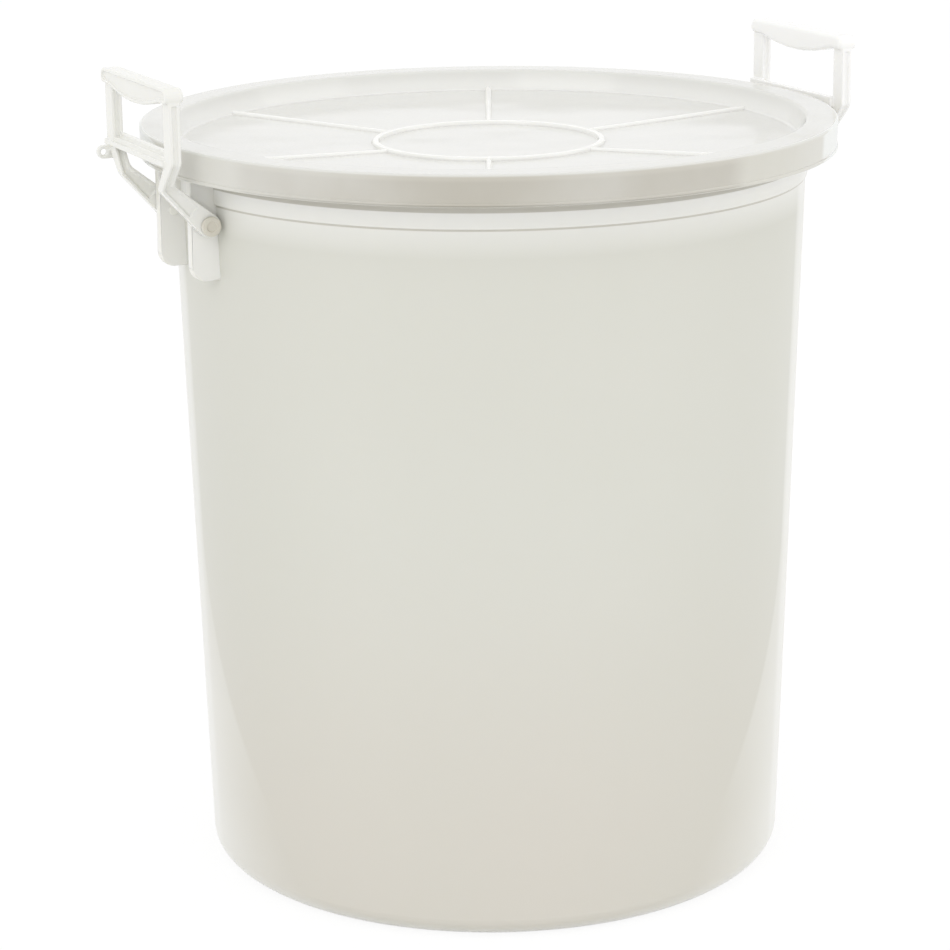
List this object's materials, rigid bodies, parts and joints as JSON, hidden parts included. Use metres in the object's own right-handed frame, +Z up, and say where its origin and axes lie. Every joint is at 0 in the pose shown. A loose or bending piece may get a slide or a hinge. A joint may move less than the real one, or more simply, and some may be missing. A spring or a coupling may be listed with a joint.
{
  "type": "pickle barrel",
  "caption": "Tall tapered plastic food barrel with a dished, ribbed lid that sits over the rim and swing-up carrying handles hinged on side ears.",
  "frame": {"origin": "middle of the foot, on the ground", "axes": "+Z up, the handles' hinges on either side along X, +Y towards the back"},
  "size_m": [0.5136, 0.465, 0.551],
  "materials": {
    "barrel_plastic": "natural milky polypropylene, semi-gloss",
    "lid_plastic": "natural milky polypropylene, gloss",
    "handle_plastic": "white polypropylene, semi-gloss",
    "pin_plastic": "plain moulded plastic, duller and darker than the handles"
  },
  "bodies": {
    "barrel": {"barrel": "barrel_plastic", "left_front_hinge_pin": "pin_plastic", "left_rear_hinge_pin": "pin_plastic", "right_front_hinge_pin": "pin_plastic", "right_rear_hinge_pin": "pin_plastic"},
    "lid": {"lid": "lid_plastic"},
    "left_handle": {"left_handle": "handle_plastic"},
    "right_handle": {"right_handle": "handle_plastic"}
  },
  "joints": [
    {"name": "lid_lift", "type": "slide", "parent": "barrel", "child": "lid", "axis": [0, 0, 1], "range_m": [0, 0.15]},
    {"name": "left_handle_hinge", "type": "hinge", "parent": "barrel", "child": "left_handle", "pos_m": [-0.2165, 0, 0.4595], "axis": [0, -1, 0], "range_deg": [0, 130]},
    {"name": "right_handle_hinge", "type": "hinge", "parent": "barrel", "child": "right_handle", "pos_m": [0.2165, 0, 0.4595], "axis": [0, 1, 0], "range_deg": [0, 130]}
  ]
}
